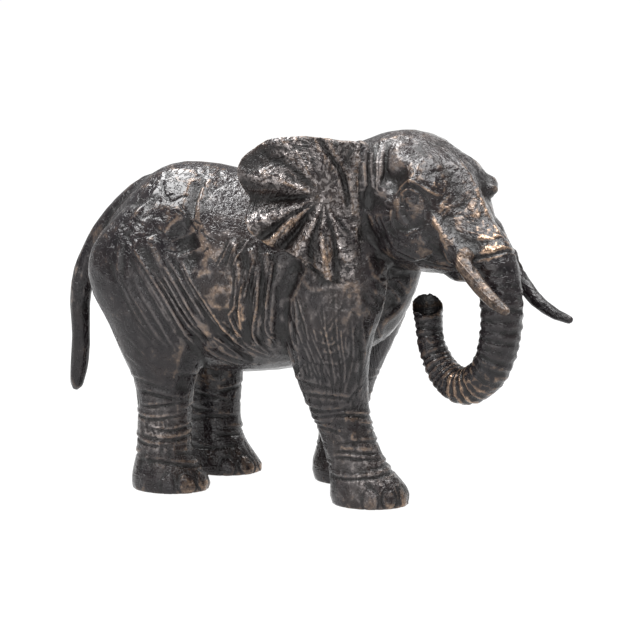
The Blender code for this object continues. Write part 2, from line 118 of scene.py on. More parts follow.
# %% Lights
LIGHTS = {  # place, what it looks at, width, height, brightness of the panel
    "left_strip": ((-0.62, 0.15, 1.15), (-0.62, 0.15, 0.0), 0.52, 1.4, 14.0),
    "right_panel": ((0.42, 0.15, 1.15), (0.42, 0.15, 0.0), 0.8, 1.4, 7.8),
    "front": ((0.0, -1.3, 0.38), (0.0, 0, 0.1), 1.6, 0.7, 1.8),
    "rim": ((0.2, 1.7, 0.35), (0.0, 0, 0.1), 1.2, 0.6, 1.0),
}
ROOM_LIGHT = 0.38
for name, (place, target, width, height, brightness) in LIGHTS.items():
    bpy.ops.object.light_add(type="AREA", location=place)
    lamp = bpy.context.object
    lamp.name = name
    lamp.data.shape = "RECTANGLE"
    lamp.data.size, lamp.data.size_y = width, height
    lamp.data.energy = brightness * math.pi * width * height
    lamp.rotation_euler = (Vector(target) - Vector(place)).to_track_quat("-Z", "Y").to_euler()

room = bpy.data.worlds.new("room")
bpy.context.scene.world = room
room.use_nodes = True
sky = room.node_tree.nodes["Background"]
sky.inputs["Color"].default_value = (1.0, 1.0, 1.0, 1)
sky.inputs["Strength"].default_value = ROOM_LIGHT
bpy.context.scene.view_settings.view_transform = "Standard"
print(len(LIGHTS), "soft lights")

# %% [markdown]
# ## A dense copy to carve
# The solid is made of large triangles. A copy gets its doubled points merged, a voxel remesh turns
# it into an even net of small squares, and rounds of smoothing take the facets away. Plain
# smoothing would shrink the tusks and the tail, so each round pulls the points in and then pushes
# them back out a little further, which keeps the volume.

# %% Copy, merge and remesh
NET = 0.52  # mm between the points of the net
SAME_POINT = 0.00001  # m


def only(item):
    """Select this object alone and make it the active one."""
    bpy.ops.object.select_all(action="DESELECT")
    item.select_set(True)
    bpy.context.view_layer.objects.active = item


only(solid)
bpy.ops.object.duplicate(linked=False)
skin = bpy.context.object
skin.name = "elephant_skin"
skin.data.materials.clear()
only(skin)
bpy.ops.object.mode_set(mode="EDIT")
bpy.ops.mesh.select_all(action="SELECT")
bpy.ops.mesh.remove_doubles(threshold=SAME_POINT)
bpy.ops.object.mode_set(mode="OBJECT")
net = skin.modifiers.new("net", "REMESH")
net.mode = "VOXEL"
net.voxel_size = NET * MM
bpy.ops.object.modifier_apply(modifier="net")
print("net of", len(skin.data.vertices), "points")


# %% Helpers that read, write and relax the net
def read(rows, name, width, kind=float):
    """One property of every row of a mesh's data, as an array."""
    found = np.empty(len(rows) * width, dtype=kind)
    rows.foreach_get(name, found)
    return found.reshape(-1, width)


def places(item):
    """The object's points in millimetres."""
    return read(item.data.vertices, "co", 3) / MM


def normals(item):
    return read(item.data.vertices, "normal", 3)


def links(item):
    """The two ends of every edge."""
    return read(item.data.edges, "vertices", 2, np.int64)


def put(item, points):
    item.data.vertices.foreach_set("co", (points * MM).ravel())
    item.data.update()


def neighbours_mean(values, ends):
    """For each point, the mean of a value over the points it is joined to."""
    count = len(values)
    a, b = ends.T
    many = np.bincount(a, minlength=count) + np.bincount(b, minlength=count)
    total = [
        np.bincount(a, weights=column[b], minlength=count)
        + np.bincount(b, weights=column[a], minlength=count)
        for column in values.reshape(count, -1).T
    ]
    return (np.stack(total, axis=1) / np.maximum(many, 1)[:, None]).reshape(values.shape)


def mean_after(values, ends, rounds):
    """The neighbours' mean, taken again and again to reach further."""
    for _ in range(rounds):
        values = neighbours_mean(values, ends)
    return values


def relax(points, ends, rounds):
    """Pull the points in, then push them back out a little further."""
    for _ in range(rounds):
        for step in (0.5, -0.525):
            points = points + step * (neighbours_mean(points, ends) - points)
    return points


FACET_ROUNDS = 26
put(skin, relax(places(skin), links(skin), FACET_ROUNDS))
print("facets relaxed")

# %% [markdown]
# ## Three ways to say where a fold goes
# The carving is described in the maker's own measures: millimetres, with x running along the body,
# and for the face a second frame that turns and tilts with the head. A stroke is a bent line with a
# width and a height. Points near the line move along their normal, most in the middle and not at
# all at the edge. A fold is a stroke with a groove beside it. A family of folds is drawn by its
# first and last line, and the lines between are blended with a little seeded chance, as no two
# real wrinkles are alike.

# %% Frames of measure
SHIFT = np.array([17.204, -5.986, 0.0])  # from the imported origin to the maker's
HEAD_PIVOT = np.array([45.0, 0.0, 120.0])
HEAD_TURN, HEAD_ROLL = math.radians(25), math.radians(5)


def to_head(points):
    """Maker's frame in; forward, left and height in the head's frame out."""
    x, y, z = (points - HEAD_PIVOT).T
    c, s = math.cos(HEAD_TURN), math.sin(HEAD_TURN)
    forward, side = x * c - y * s, x * s + y * c
    left = side * math.cos(HEAD_ROLL) - z * math.sin(HEAD_ROLL)
    rise = side * math.sin(HEAD_ROLL) + z * math.cos(HEAD_ROLL)
    return np.stack([forward, left, HEAD_PIVOT[2] + rise], axis=1)


# the trunk's middle line in the head's frame, forward and up, and its radius
TRUNK = np.array([
    (36, 118, 10.0), (46, 112.5, 9.8), (53, 107.5, 9.5), (58.4, 102.5, 9.3), (62, 96, 8.9),
    (64.2, 89, 8.8), (65.3, 81, 8.6), (65.3, 72.5, 8.3), (63.2, 62.8, 8.0), (58.2, 55.4, 7.8),
    (51.2, 51.3, 7.7), (44.2, 51.5, 7.4), (37.6, 55.5, 6.7), (32.9, 61.3, 6.1),
    (29.8, 67.5, 5.8), (28.3, 74, 5.8), (27.0, 80.9, 7.0),
])


def smooth_rows(rows, steps=6):
    """Rows with smooth ones added between them (a Catmull-Rom curve)."""
    rows = np.vstack([2 * rows[0] - rows[1], rows, 2 * rows[-1] - rows[-2]])
    found = []
    for i in range(1, len(rows) - 2):
        a, b, c, d = rows[i - 1 : i + 3]
        for t in np.arange(steps) / steps:
            found.append(
                b + 0.5 * t * (c - a + t * (2 * a - 5 * b + 4 * c - d + t * (3 * (b - c) + d - a)))
            )
    return np.array(found + [rows[-2]])


def unit(values):
    """Values held between 0 and 1."""
    return np.clip(values, 0, 1)


def along(flat, line):
    """Distance of points from a bent line, and the length run along it to the nearest place."""
    best, where, run = np.full(len(flat), 1e9), np.zeros(len(flat)), 0.0
    for a, b in zip(line, line[1:]):
        reach = np.linalg.norm(b - a)
        t = unit((flat - a) @ (b - a) / reach**2)
        away = np.linalg.norm(flat - a - np.outer(t, b - a), axis=1)
        nearer = away < best
        best[nearer] = away[nearer]
        where[nearer] = run + t[nearer] * reach
        run += reach
    return best, where, run


# %% A stroke, a fold and a family of folds
rng = np.random.default_rng(11)


def bell(distance):
    """A smooth bump: 1 in the middle, and 0 from a distance of 1 on."""
    return unit(1 - distance**2) ** 2


def stroke(here, line, width, height, taper=0.25):
    """Add one line. here is the push to add to, the 2-D places, and how far each takes part."""
    push, flat, ready = here
    line = np.asarray(line, float)
    if len(line) > 2:
        line = smooth_rows(line, 4)
    low, high = line.min(axis=0) - width, line.max(axis=0) + width
    near = np.nonzero((ready > 0) & np.all((flat > low) & (flat < high), axis=1))[0]
    if not len(near):
        return
    away, where, run = along(flat[near], line)
    ends = unit(np.minimum(where, run - where) / (taper * run + 1e-6))
    push[near] += height * bell(away / width) * (0.1 + 0.9 * np.sqrt(ends)) * ready[near]


def fold(here, line, width, height, groove=0.6, lean=1):
    """A raised edge with a groove along one side of it, as hanging skin has."""
    line = np.asarray(line, float)
    stroke(here, line, width, height)
    across = (line[-1] - line[0])[::-1] * (1, -1)
    across = across / np.linalg.norm(across) * lean
    stroke(here, line + across * width * 1.1, width * 1.1, -height * groove)


def family(here, first, last, count, width, height, wobble=0.6):
    """Folds between a first and a last line. Some run the whole way, and some break off."""
    first, last = (smooth_rows(np.asarray(line, float), 3) for line in (first, last))
    if len(first) != len(last):
        raise ValueError("a family needs as many points in its first line as in its last")
    steps = np.arange(len(first))
    knots = (0, steps[-1] / 2, steps[-1])
    for part in (np.arange(count) + rng.uniform(-0.3, 0.3, count)) / max(count - 1, 1):
        sway = [np.interp(steps, knots, rng.normal(0, wobble, 3)) for _ in range(2)]
        line = first + (last - first) * part + np.stack(sway, axis=1)
        start, stop = rng.uniform(0, 0.3), 1 - rng.uniform(0, 0.25)
        cut = line[int(start * len(line)) : max(int(stop * len(line)), 3)]
        if len(cut) > 2:
            sizes = width * rng.uniform(0.75, 1.3), height * rng.uniform(0.6, 1.25)
            fold(here, cut, *sizes)


def carve(kind, here, rows):
    """Draw every row of a table. kind is stroke, fold or family."""
    for row in rows:
        kind(here, *row)


print("carving tools ready")

# %% [markdown]
# The solid's brow ends in a step on the near side. It is eased before anything else, as a thumb
# smooths wax, so that the lids can be carved on an even surface.

# %% Ease the near brow
BROW_STEP = [(29.6, -19.5, 128.6), (34.3, -19.5, 127.8), (40.1, -19.0, 126.3), (47.5, -17.5, 124.5)]
BROW_ROUNDS = 75


def ease(points, smooth, heads, line, inner, reach):
    """Blend points towards their smoothed places where they lie near a line on the head."""
    away, _, _ = along(heads, np.array(line))
    return points + (smooth - points) * unit(inner - away / reach)[:, None]


made = places(skin) + SHIFT
ends = links(skin)
made = ease(made, mean_after(made, ends, BROW_ROUNDS), to_head(made), BROW_STEP, 1.8, 3.8)
put(skin, made - SHIFT)
print("brow eased")

# %% [markdown]
# ## Body and legs
# Each point is first given to a side, an ear or the head. The ears are blades that stand off the
# neck: a point is on one if it lies inside its rim and close to its dished middle surface.

# %% Which points belong to what
facing = normals(skin)
heads = to_head(made)
head_facing = to_head(facing + HEAD_PIVOT) - (0, 0, HEAD_PIVOT[2])
SIDES = (-1, 1)
on_side = {side: unit(side * facing[:, 1] * 2.2) * (side * made[:, 1] > 1) for side in SIDES}
EAR_ROOT = np.array([9.5, 30.5, 123.0])
EAR_FLARE = {-1: math.radians(37), 1: math.radians(4)}
EAR_MIDDLE = np.array([19.0, 2.0, 2.0])
EAR_RIM = np.array([  # back from the root, up, and how far the rim stands out
    (-1.6, 20.8, -4), (6, 21.0, -1.5), (18.6, 21.6, -0.5), (26, 20.8, -0.5), (33.2, 19.4, -2),
    (39.5, 14.6, -3), (44.0, 10.3, -4), (44.9, 5.0, -3.5), (42.6, 0.0, -2), (39.8, -4.2, -1.5),
    (40.6, -9.5, 0), (39.8, -14.5, 0.5), (35.5, -19.5, 1), (28, -22.8, 1), (20.9, -24.9, 0.5),
    (13.8, -28.3, 0.5), (7.0, -31.8, 0), (0.5, -31.8, -0.5), (-3.6, -26, -1.5),
    (-3.8, -15, -2.5), (-2.6, -4, -3), (-1.6, 9, -3.5),
])


def ear_frame(points, side):
    """Back, up and out on one ear's blade, for points in the head's frame."""
    flare = EAR_FLARE[side]
    forward = points[:, 0] - EAR_ROOT[0]
    left = side * points[:, 1] - EAR_ROOT[1]
    back = -forward * math.cos(flare) + left * math.sin(flare)
    out = forward * math.sin(flare) + left * math.cos(flare)
    return back, points[:, 2] - EAR_ROOT[2], out


def ear_share(points, heads, side):
    """Which points lie on one ear's blade."""
    back, up, out = ear_frame(heads, side)
    rim = smooth_rows(np.vstack([EAR_RIM, EAR_RIM[:1]]), 4)[:-1] - EAR_MIDDLE
    rim_turn = np.arctan2(rim[:, 1], rim[:, 0])
    ranks = np.argsort(rim_turn)
    rim, rim_turn = rim[ranks], rim_turn[ranks]
    turn = np.arctan2(up - EAR_MIDDLE[1], back - EAR_MIDDLE[0])
    rim_reach = np.interp(turn, rim_turn, np.hypot(rim[:, 0], rim[:, 1]), period=2 * math.pi)
    rim_out = np.interp(turn, rim_turn, rim[:, 2], period=2 * math.pi)
    part = np.hypot(up - EAR_MIDDLE[1], back - EAR_MIDDLE[0]) / rim_reach
    blade = EAR_MIDDLE[2] + rim_out * np.minimum(part, 1) ** 2.2
    return (part < 1.07) & (np.abs(out - blade) < 5) & (side * points[:, 1] > 26)


ear = {side: ear_share(made, heads, side) for side in SIDES}
any_ear = ear[-1] | ear[1]
in_head = (heads[:, 0] > -4) & (heads[:, 2] > 90) & (made[:, 0] > 40) & ~any_ear
print("ear points", int(any_ear.sum()), "head points", int(in_head.sum()))

# %% [markdown]
# The big wrinkles follow how the hide hangs: long slanting ones over the haunch, upright ones on
# the flank behind the ear, finer ones down the shoulder. They are drawn on the side view and
# pressed in from both sides, each with its own chance. A height below zero is a groove.

# %% The wrinkles of the side view
HAUNCH = (
    [(-48.5, 99.5), (-37.7, 84.7), (-28.3, 68.5), (-23.8, 58)],
    [(-30, 97), (-22, 86), (-15, 75), (-7.1, 63.3)],
)
FLANK = (
    [(-4.5, 98), (-5, 86.7), (-7, 77), (-8, 67)],
    [(10.7, 101.1), (7.7, 89.0), (6.0, 76.8), (9.6, 63.5)],
)
FORELEG = (
    [(17.1, 85), (20.5, 71.2), (26.9, 55.1), (32.5, 38.9)],
    [(46.4, 87.6), (45.9, 71.9), (44.2, 55.8), (41.1, 39.1)],
)
RUMP = (
    [(-62, 96), (-52, 80), (-42, 66), (-36, 54)],
    [(-50, 104), (-40, 88), (-30, 70), (-25, 58)],
)
HIND_FAMILIES = (  # first line, last line, how many folds, width, height
    (*HAUNCH, 7, 0.9, 0.75),
    (*RUMP, 5, 1.1, 0.22),
    ([(-58, 60), (-50, 55), (-44, 50)], [(-46, 84), (-38, 70), (-32, 58)], 5, 1.0, 0.22),
    (*FLANK, 4, 0.8, 0.35),
)
UPPER_FLANK = (
    [(-9.5, 106), (-12.5, 99.7), (-15.0, 92.5)],
    [(-1.9, 106.5), (-4.1, 100), (-7.5, 93.4)],
)
UPPER_FAMILIES = ((*UPPER_FLANK, 4, 0.85, 0.5), (*FORELEG, 9, 0.8, 0.26, 1.2))
NECK = [(41.5, 146), (42.5, 135), (43.6, 125)], [(49.5, 146), (51, 135), (52.5, 125)]
THROAT = [(46.7, 90), (50.6, 82.0), (52, 76)], [(51.5, 94.5), (55.9, 85.9), (58, 79)]
FRONT_FAMILIES = (  # the last number, where there is one, is how much the folds wander
    ([(14, 80), (17, 70), (20, 60)], [(21, 84), (24, 74), (27, 64)], 4, 1.0, 0.55),
    ([(28, 72), (33, 70), (38, 74)], [(30, 60), (36, 60), (41, 64)], 4, 0.9, 0.15),
    (*NECK, 5, 1.0, 0.75, 0.3),
    (*THROAT, 3, 1.7, 0.7, 0.3),
)
BELLY = ([(-24, 62), (-16, 56), (-8, 52)], [(-10, 68), (0, 60), (8, 57)], 4, 1.2, 0.45)
print("families of folds ready")

# %% The single folds of the side view
FLANK_RIDGES = (
    [(1.8, 97.6), (0.1, 90.7), (-1.6, 83.4)],
    [(4.4, 97.7), (4.3, 91.7), (3.4, 79.6), (0.8, 69.8), (1.7, 63.4), (4.2, 59.5)],
    [(8.6, 98.3), (9.4, 95.9), (7.7, 83.0), (5.9, 70.1), (8.5, 66.2)],
    [(-5.5, 84.0), (-5.9, 79.1), (-8.5, 75.8), (-6.8, 70.2), (-4.3, 66.3)],
    [(-17.0, 65.8), (-12.7, 62.0), (-7.6, 56.5)],
    [(-13.5, 71.5), (-9.5, 67.5), (-4.5, 61.0)],
)
RIDGE = (0.95, 0.75, 0.7, -1)  # width, height, share of the groove, and the side it is on
HIP_STROKES = (  # hollow in front of the hip, its rim, and the crease and swelling above it
    ([(-29.5, 106), (-27.0, 100)], 7.0, -1.6),
    ([(-37, 104), (-35.5, 110), (-30, 114), (-23, 111)], 2.0, 0.35),
    ([(-26.5, 128), (-27.5, 120), (-26.5, 113)], 1.5, -1.1),
    ([(-24, 128), (-24.8, 120), (-23.5, 112)], 1.8, 0.5),
)
RUMP_EDGE = ([(-45, 124), (-52.1, 114), (-56.5, 102), (-56, 84)], 2.2, 0.45, 0.5, -1)
SHOULDER_STROKES = (  # filling behind the shoulder, its front edge and hollow, its top
    ([(19, 95), (13, 84), (12, 71), (14.5, 62), (16, 55)], 4.0, 0.9, 0.1),
    ([(58, 81), (53, 76), (48, 71), (46, 64), (46.5, 52)], 1.8, 0.8),
    ([(62, 79), (57, 73), (52, 66), (50.5, 56)], 3.0, -0.9),
    ([(22, 92), (28, 88), (36, 90)], 2.0, 0.4),
)
print(len(FLANK_RIDGES), "ridges on the flank")

# %% Carve both sides
FORELEG_STREAKS, HIP_CRACKS = 60, 70
push = np.zeros(len(made))
side_view = made[:, [0, 2]]
for side in SIDES:
    body = on_side[side] * ~any_ear * ~(in_head & (made[:, 0] > 52))
    here = push, side_view, body
    carve(family, here, HIND_FAMILIES)
    for line in FLANK_RIDGES:
        fold(here, line, *RIDGE)
    carve(family, here, UPPER_FAMILIES)
    for _ in range(FORELEG_STREAKS):
        x, z = rng.uniform(20, 46), rng.uniform(44, 84)
        half, lean = rng.uniform(1.2, 4.0), rng.normal(-0.25, 0.35)
        line = [(x + half * lean, z - half), (x, z), (x - half * lean, z + half)]
        stroke(here, line, 0.75, rng.choice((0.15, 0.1, -0.22)))
    carve(family, here, FRONT_FAMILIES)
    carve(stroke, here, HIP_STROKES)
    fold(here, *RUMP_EDGE)
    carve(stroke, here, SHOULDER_STROKES)
    # short slanting cracks over the smooth hip and the rump
    for _ in range(HIP_CRACKS):
        x, z = rng.uniform(-56, -18), rng.uniform(100, 134)
        half, slope = rng.uniform(0.8, 2.4), rng.choice((-1.0, -0.6, 0.5)) + rng.normal(0, 0.25)
        middle = (x, z + rng.normal(0, 0.3))
        line = [(x - half, z - half * slope), middle, (x + half, z + half * slope)]
        stroke(here, line, 0.7, -0.3)
    family(here, *BELLY)
print(f"sides pushed by up to {np.abs(push).max():.2f} mm")

# %% [markdown]
# The rings round a leg are not full circles. Each is a crease that waves, deepens and dies out, so
# its height and strength change with the angle round the leg. Small lumps break the rings up.

# %% Rings round the legs
LEGS = ((-43.5, -19.5), (-36.5, 19.5), (36, -19.5), (21.5, 19.5))  # hind ones, then fore ones
LOWEST_RING, HIGHEST_RING, LEG_TOP = 12.0, 50, 52
LEG_LUMPS = 34
for cx, cy in LEGS:
    ahead, aside, level = made[:, 0] - cx, made[:, 1] - cy, made[:, 2]
    on_leg = (np.abs(ahead) < 22) & (np.abs(aside) < 17) & (level > 9) & (level < LEG_TOP)
    near = np.nonzero(on_leg)[0]
    turn, level = np.arctan2(aside[near], ahead[near]), level[near]
    upright = np.abs(facing[near, 2]) < 0.8
    z = LOWEST_RING
    while z < HIGHEST_RING:
        phase, tilt = rng.uniform(0, 6.28), rng.uniform(-1.6, 1.6)
        bend = 0.9 * np.sin(turn * 2 + phase) + tilt * np.cos(turn)
        strength = np.clip(0.35 + 0.75 * np.sin(turn * rng.choice((1, 2)) + phase * 2), 0.08, 1)
        width = rng.uniform(0.9, 1.4)
        crease = bell((level - z - bend) / width)
        edge = bell((level - z - bend - width * 1.3) / (width * 1.2))
        fade = np.clip((LEG_TOP - z) / 12, 0.25, 1)
        push[near] += (-0.6 * crease + 0.38 * edge) * strength * fade * upright
        z += rng.uniform(2.4, 4.6)
    for _ in range(LEG_LUMPS):
        angle, height = rng.uniform(-2.6, -0.6) * (-1 if cy > 0 else 1), rng.uniform(8, 46)
        reach = np.hypot((turn - angle) * 14, (level - height) / rng.uniform(1.0, 2.0))
        lump = rng.choice((0.35, 0.25, -0.3)) * bell(reach / rng.uniform(1.2, 2.2))
        push[near] += lump * upright
print("legs ringed")

# %% [markdown]
# Each foot ends in blunt nails at the front. A nail is a low rounded plate between upright grooves.
# On the round foot its place is an angle about the leg's middle and a height.

# %% Toenails
FEET = ((-41.0, -19.5), (-33.0, 19.5), (46.0, -19.5), (25.0, 19.5))
NAIL_TURNS = (-72, -40, -8, 26, 60)
FOOT_SCRATCHES = 16
for cx, cy in FEET:
    ahead, aside, level = made[:, 0] - cx, made[:, 1] - cy, made[:, 2]
    near = np.nonzero((np.abs(ahead) < 20) & (np.abs(aside) < 18) & (level < 12))[0]
    turn, level = np.degrees(np.arctan2(aside[near], ahead[near])), level[near]
    upright = unit(1.2 - np.abs(facing[near, 2]))
    for angle in NAIL_TURNS:
        angle = angle * (-1 if cy > 0 else 1)
        across = (turn - angle) / rng.uniform(11, 14)
        height = (level - 3.6) / rng.uniform(3.6, 4.6)
        plate = unit(1 - across**2 - height**2)
        rim = np.exp(-(((across**2 + height**2) - 1.2) / 0.25) ** 2)
        push[near] += (0.38 * np.sqrt(plate) - 0.25 * rim) * upright
    for angle in rng.uniform(-95, 85, FOOT_SCRATCHES):
        across = (turn - angle) / rng.uniform(2.5, 4)
        span = unit(1 - ((level - rng.uniform(5, 10)) / rng.uniform(2, 4)) ** 2)
        push[near] += rng.uniform(-0.4, 0.3) * np.exp(-(across**2)) * span * upright
print("nails", len(FEET) * len(NAIL_TURNS))

# %% [markdown]
# ## Trunk
# Rings run all the way round the trunk, wide apart under the tusks and close together on the curl.
# Distance along the trunk's middle line says which ring a point is on.

# %% Trunk rings
RING_GAPS = (4.6, 2.3)  # mm between rings at the top and at the tip
RINGS_FROM, RINGS_TO = 0.2, 0.985  # shares of the trunk's length
trunk_line = smooth_rows(TRUNK)
trunk_middle = np.stack([trunk_line[:, 0], np.zeros(len(trunk_line)), trunk_line[:, 1]], axis=1)


def trunk_place(points):
    """Distance from the trunk's middle line, the run along it, its whole length and its radius."""
    away, where, run = along(points, trunk_middle)
    radius = np.interp(where, np.linspace(0, run, len(trunk_line)), trunk_line[:, 2])
    return away, where, run, radius


ahead, aside, level = heads.T
near = np.nonzero((ahead > 17) & (level < 108) & (np.abs(aside) < 13) & (made[:, 0] > 58))[0]
away, where, run, radius = trunk_place(heads[near])
aside = aside[near]
start = run * RINGS_FROM
on_trunk = (away < radius * 1.25) & (where > start) & (where < run * RINGS_TO)
s, before, rings = start, start, 0
while s < run - 1:
    part = (s - start) / (run - start)
    gap = RING_GAPS[0] + (RING_GAPS[1] - RING_GAPS[0]) * part
    lean = 0.4 * np.sin(aside * 0.35 + rng.uniform(0, 6.28))
    strength = 0.55 + 0.45 * np.sin(np.arctan2(aside, 6) * 2 + rng.uniform(0, 6.28))
    depth = (0.28 + 0.25 * unit((part - 0.3) / 0.4)) * rng.uniform(0.8, 1.2) * strength
    valley = unit(1 - ((where - s - lean) / (gap * 0.38)) ** 2) ** 1.5
    push[near] -= on_trunk * valley * depth
    half = 0.5 * (s - before + 0.01)
    swell = unit(1 - ((where - lean - 0.5 * (s + before)) / half) ** 2)
    push[near] += on_trunk * swell * 0.1
    before, s, rings = s, s + gap * rng.uniform(0.85, 1.18), rings + 1
print(rings, "rings on the trunk")

# %% [markdown]
# ## Face
# A bony brow arches over a small eye that sits high in a deep bag of skin, the temple behind it is
# hollow, and the skin of the muzzle is a broad plate whose edge stands out over the cheek, the
# tusks and the trunk.

# %% Brow, eye and temple
EYE_STROKES = (
    # brow: one crisp edge like a low roof, the hollow under it and the upper lid
    (
        [(26.4, 124.8), (28.6, 127.4), (31.6, 129.6), (34.2, 130.2), (37.0, 129.0), (40.6, 126.6),
         (43.2, 124.8)], 0.9, 0.6, 0.12,
    ),
    (
        [(28.2, 123.6), (30.2, 126.5), (33.0, 128.1), (36.0, 127.3), (38.6, 125.2), (40.2, 123.2)],
        0.9, -0.55, 0.15,
    ),
    ([(28.9, 124.7), (31.3, 126.0), (33.4, 126.7), (35.5, 126.3), (37.1, 125.1)], 0.65, 0.45, 0.12),
    # the eye between its lids, and the loose bag under it
    ([(33.6, 124.0), (33.9, 121.2)], 1.9, 0.7, 0.4),
    ([(30.5, 124.4), (30.2, 122.1), (31.2, 120.0)], 0.8, -0.6, 0.15),
    ([(36.8, 124.4), (37.4, 122.6), (37.1, 120.8)], 0.8, -0.6, 0.15),
    ([(31.0, 123.2), (33.6, 124.2), (36.4, 123.2)], 0.5, -0.4, 0.15),
    ([(31.2, 119.5), (33.6, 118.6), (36.1, 119.1), (37.7, 120.4)], 0.7, 0.5, 0.1),
    ([(30.3, 118.2), (33.7, 117.2), (37.4, 118.2)], 0.8, -0.45, 0.1),
    ([(28.0, 119.2), (28.4, 114.4), (32.0, 111.6), (36.6, 112.6), (39.4, 116.4)], 1.9, -0.4, 0.1),
    ([(26.2, 120), (26.6, 113.6), (30.0, 109.8), (34.6, 109.2), (38.8, 112.6)], 1.0, 0.22, 0.1),
    ([(39.8, 123.4), (41.2, 120.8), (40.8, 117.4)], 1.3, -0.4),
)
EYE_LINES = [(27, 121), (23.5, 122.4), (20.5, 125.4)], [(27, 111.5), (24.4, 109), (21.4, 107.5)]
TEMPLE_STROKES = (  # rim, the hollow inside it, the muscle in it, the hollow behind the eye
    (
        [(7, 142.5), (12, 145), (19.5, 146.8), (28.4, 144.8), (33.6, 141), (35, 136),
         (34.6, 132.6)], 1.7, 0.28, 0.1,
    ),
    ([(9, 143), (13, 137.5), (18, 132.5), (24, 129)], 4.6, -0.5),
    ([(31, 132.5), (23, 129.5), (13, 131), (9, 134)], 5.5, -0.6),
    ([(19, 143), (25, 139), (30, 140)], 4.2, 0.1),
    ([(29, 126), (20, 121.5), (9, 123)], 7.0, -1.5),
)
TEMPLE_LINES = [(9, 128), (16, 125), (25, 122)], [(12, 133), (19, 129), (28, 126)]
face_view = heads[:, [0, 2]]


def side_of_face(side):
    """How far each point of the head faces one side."""
    share = unit(side * head_facing[:, 1] * 1.8) * (side * heads[:, 1] > 3)
    return share * in_head * (heads[:, 0] > 6)


for side in SIDES:
    here = push, face_view, side_of_face(side)
    carve(stroke, here, EYE_STROKES)
    family(here, *EYE_LINES, 7, 0.7, 0.26, 0.3)
    carve(stroke, here, TEMPLE_STROKES)
    family(here, *TEMPLE_LINES, 4, 0.9, 0.2)
print("brow, eye and temple carved")

# %% Muzzle, cheek and mouth
MUZZLE_EDGE = (  # the cheek pressed in beside the plate, and the plate's own edge
    ([(42.4, 118.5), (44.8, 112.5), (48.6, 106.5), (51.6, 102.4), (53.4, 99.4)], 2.6, -1.2, 0.08),
    ([(40.2, 117), (42.6, 111.5), (46.4, 105.4), (49.4, 101.4), (51, 98.8)], 3.0, 0.8, 0.1),
)
CHEEK_FAMILIES = (
    ([(12, 118), (18, 109), (24, 101)], [(19, 118), (25, 108), (31, 100)], 4, 1.5, 0.45, 0.4),
    ([(30, 108), (36, 104), (43, 101)], [(28, 103), (34, 100), (40, 98)], 3, 0.9, 0.3),
)
MOUTH = ([(30, 101.5), (36, 98.6), (42, 97.4), (48, 97.2)], 1.1, -0.8)
for side in SIDES:
    here = push, face_view, side_of_face(side)
    carve(stroke, here, MUZZLE_EDGE)
    carve(family, here, CHEEK_FAMILIES)
    stroke(here, *MOUTH)
print("muzzle and mouth carved")

# %% Forehead and the rim over the trunk
# rim of the muzzle over the trunk, and the ridge down the middle of the face, on the front view
front = unit(head_facing[:, 0] * 1.5 + head_facing[:, 2] * 0.5)
front = front * in_head * (heads[:, 0] > 26)
front_view = heads[:, 1:3]
RIM = np.array(
    [(-17.5, 99.3), (-12, 103.0), (-6, 106.3), (0, 107.6), (6, 106.3), (12, 103.0), (17.5, 99.3)]
)
FRONT_STROKES = (
    (RIM, 0.9, 0.15, 0.05),
    (RIM - (0, 1.8), 0.9, -0.7, 0.05),
    (RIM + (0, 2.6), 1.2, -0.2, 0.05),
    ([(0, 145), (0, 110)], 2.6, 0.4, 0.1),
    ([(-8.5, 141), (-8.5 * 0.95, 112)], 4.5, -0.5, 0.15),
    ([(8.5, 141), (8.5 * 0.95, 112)], 4.5, -0.5, 0.15),
)
FOREHEAD_CREASES = 240
here = push, front_view, front
carve(stroke, here, FRONT_STROKES)

# short creases over forehead and muzzle. Each rises towards the middle ridge.
for _ in range(FOREHEAD_CREASES):
    x, z = rng.uniform(-17, 17), rng.uniform(104, 147)
    half, slope = rng.uniform(1.0, 3.6), -0.45 * np.sign(x) + rng.normal(0, 0.45)
    bow = rng.normal(0, 0.5)
    line = [(x - half, z - half * slope), (x, z + bow), (x + half, z + half * slope)]
    sizes = rng.uniform(0.55, 0.9), rng.choice((-0.19, -0.14, 0.11))
    stroke(here, line, *sizes, 0.4)
print(f"face carved, largest push {np.abs(push).max():.2f} mm")

# %% [markdown]
# ## Move the points, then the ears
# The ears are thin blades, so pushing both faces along their own normals would make them thicker or
# thinner. Their fanned folds move both faces the same way instead, along the blade's own outward
# direction, and only the finest lines go along the normals.

# %% Push the folds in
PLATE_EDGE = ((36, 20.5, 120), (42, 19.0, 115), (48, 16.8, 108.5), (53, 15.3, 103))
CORNER_ROUNDS = 30
made = made + facing * push[:, None]
# the corner between muzzle and cheek is rounded off
rounded = mean_after(made, ends, CORNER_ROUNDS)
for side in SIDES:
    made = ease(made, rounded, heads, np.array(PLATE_EDGE) * (1, side, 1), 1.7, 3.5)
print("folds pushed in")

# %% The fan of folds on an ear
EAR_HUB = (9.5, -0.8)
EAR_FOLDS = (  # direction in degrees on the blade, spread, height
    (52, 9, 0.9), (33, 6, -0.9), (13, 7, 1.4), (-7, 8, -1.0), (-27, 6.5, 1.4),
    (-36, 3.2, -0.8), (-43, 4, 1.1), (-53, 5, -1.3), (-70, 6.5, 1.3), (-81, 3.2, -1.0),
    (-93, 4.5, 1.1), (-103, 3, -0.9), (-113, 4.5, 1.0), (-122, 3.5, -0.8),
)


